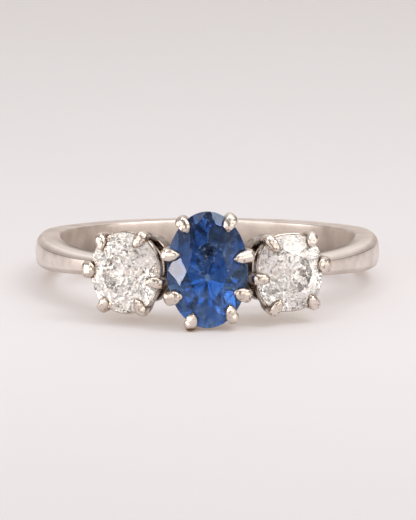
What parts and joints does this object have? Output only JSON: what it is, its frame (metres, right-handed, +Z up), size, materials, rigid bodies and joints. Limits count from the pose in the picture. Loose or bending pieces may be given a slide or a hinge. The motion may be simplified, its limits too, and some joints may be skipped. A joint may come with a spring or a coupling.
{
  "type": "three stone ring",
  "caption": "Finger ring lying on its side, with an oval centre stone between two old-cut side stones in claw coronets on a bevelled, domed band.",
  "frame": {"origin": "on the ground plane, under the middle of the ring's outline as it lies", "axes": "+Z up; the stones face -Y; +X to the right as seen from the stones' side; the finger hole's axis leans back from +Z by the angle at which the ring rests"},
  "size_m": [0.0198, 0.0222, 0.0066],
  "materials": {
    "white_metal": "worn polish, warm grey platinum or white gold, with fine scratches",
    "sapphire": "polished, deep blue, facetted, with faint silk and growth wisps",
    "diamond": "polished, near colourless, old cut facets"
  },
  "bodies": {
    "root": {"ring_mount": "white_metal", "centre_sapphire": "sapphire", "left_diamond": "diamond", "right_diamond": "diamond"}
  },
  "joints": []
}
